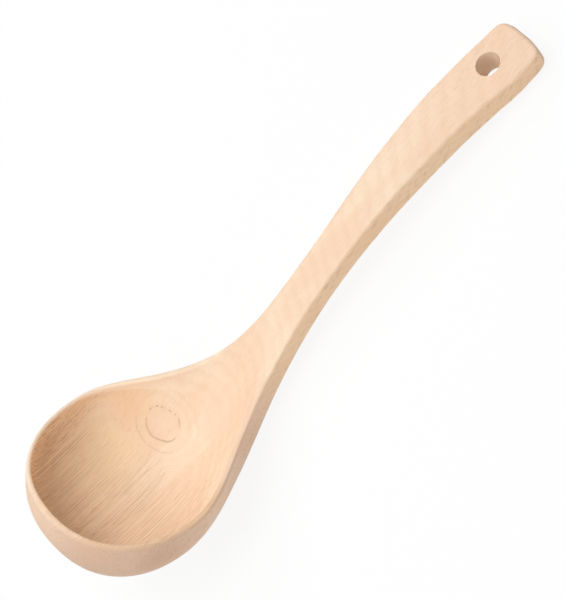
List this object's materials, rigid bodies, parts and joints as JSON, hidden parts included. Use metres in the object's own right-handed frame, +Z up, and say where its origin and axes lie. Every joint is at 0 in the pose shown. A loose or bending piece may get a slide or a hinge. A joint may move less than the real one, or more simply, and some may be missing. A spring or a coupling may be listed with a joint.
{
  "type": "ladle",
  "caption": "Wooden ladle for serving: a deep round bowl, thin at the rim, that runs up a slender neck into a flat, gently arched handle with a hole to hang it by.",
  "frame": {"origin": "middle of the ladle's length and width, on the surface that it lies on", "axes": "+X from the bowl to the end of the handle, +Z up with the ladle lying on the heel of its bowl and the end of its handle, +Y across it"},
  "size_m": [0.2568, 0.08, 0.0569],
  "materials": {
    "beech": "sanded smooth and left plain, a dull sheen at most"
  },
  "bodies": {
    "root": {"ladle": "beech"}
  },
  "joints": []
}
